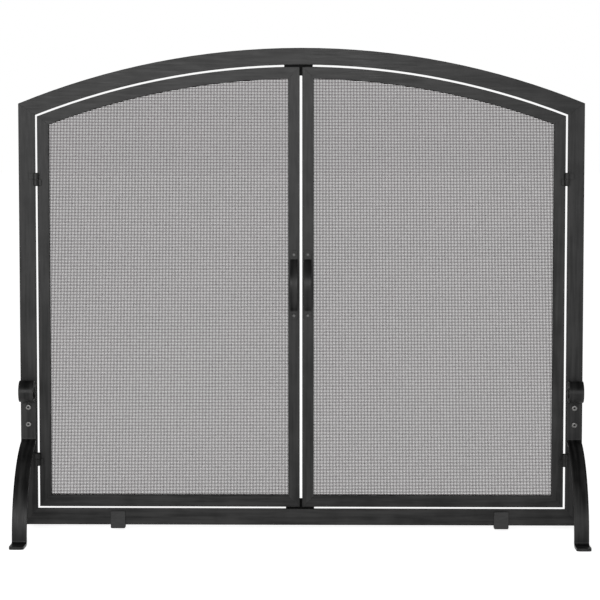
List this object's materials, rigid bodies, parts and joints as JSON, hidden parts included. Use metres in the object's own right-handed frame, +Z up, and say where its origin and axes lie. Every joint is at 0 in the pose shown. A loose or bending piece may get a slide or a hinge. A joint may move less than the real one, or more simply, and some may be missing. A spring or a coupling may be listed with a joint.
{
  "type": "fireplace screen",
  "caption": "Free-standing fireplace screen: arched flat-bar steel frame on scroll-topped arched legs, with outward-swinging woven-wire doors, bow handles and barrel hinges.",
  "frame": {"origin": "on the floor, midway between the left and right legs and between the front and rear toes", "axes": "+X to the right of someone facing the screen, +Y from the front to the back, +Z up; the doors open towards -Y"},
  "size_m": [0.99, 0.3278, 0.8546],
  "materials": {
    "black_steel": "satin black powder coat",
    "black_wire": "satin black coated wire",
    "zinc_steel": "bright zinc plate",
    "black_glide": "satin moulded plastic"
  },
  "bodies": {
    "frame": {"bottom_stop_plate": "black_steel", "frame_arch_rail": "black_steel", "frame_bottom_rail": "black_steel", "left_frame_stile": "black_steel", "left_front_leg": "black_steel", "left_leg_nuts": "zinc_steel", "left_leg_screws": "zinc_steel", "left_lower_frame_knuckle": "black_steel", "left_lower_hinge_pin": "black_steel", "left_rail_glide": "black_glide", "left_rear_leg": "black_steel", "left_upper_frame_knuckle": "black_steel", "left_upper_hinge_pin": "black_steel", "right_frame_stile": "black_steel", "right_front_leg": "black_steel", "right_leg_nuts": "zinc_steel", "right_leg_screws": "zinc_steel", "right_lower_frame_knuckle": "black_steel", "right_lower_hinge_pin": "black_steel", "right_rail_glide": "black_glide", "right_rear_leg": "black_steel", "right_upper_frame_knuckle": "black_steel", "right_upper_hinge_pin": "black_steel", "top_stop_plate": "black_steel"},
    "left_door": {"left_cloth_strip_bottom": "black_steel", "left_cloth_strip_hinge": "black_steel", "left_cloth_strip_meeting": "black_steel", "left_cloth_strip_top": "black_steel", "left_door_bottom_rail": "black_steel", "left_door_hinge_stile": "black_steel", "left_door_meeting_stile": "black_steel", "left_door_top_rail": "black_steel", "left_handle": "black_steel", "left_handle_rivets": "black_steel", "left_lower_door_knuckle": "black_steel", "left_upper_door_knuckle": "black_steel", "left_wire_cloth": "black_wire"},
    "right_door": {"right_cloth_strip_bottom": "black_steel", "right_cloth_strip_hinge": "black_steel", "right_cloth_strip_meeting": "black_steel", "right_cloth_strip_top": "black_steel", "right_door_bottom_rail": "black_steel", "right_door_hinge_stile": "black_steel", "right_door_meeting_stile": "black_steel", "right_door_top_rail": "black_steel", "right_handle": "black_steel", "right_handle_rivets": "black_steel", "right_lower_door_knuckle": "black_steel", "right_upper_door_knuckle": "black_steel", "right_wire_cloth": "black_wire"}
  },
  "joints": [
    {"name": "left_door_swing", "type": "hinge", "parent": "frame", "child": "left_door", "pos_m": [-0.4641, -0.0085, 0.37915], "axis": [0, 0, -1], "range_deg": [0, 93]},
    {"name": "right_door_swing", "type": "hinge", "parent": "frame", "child": "right_door", "pos_m": [0.4641, -0.0085, 0.37915], "axis": [0, 0, 1], "range_deg": [0, 93]}
  ]
}
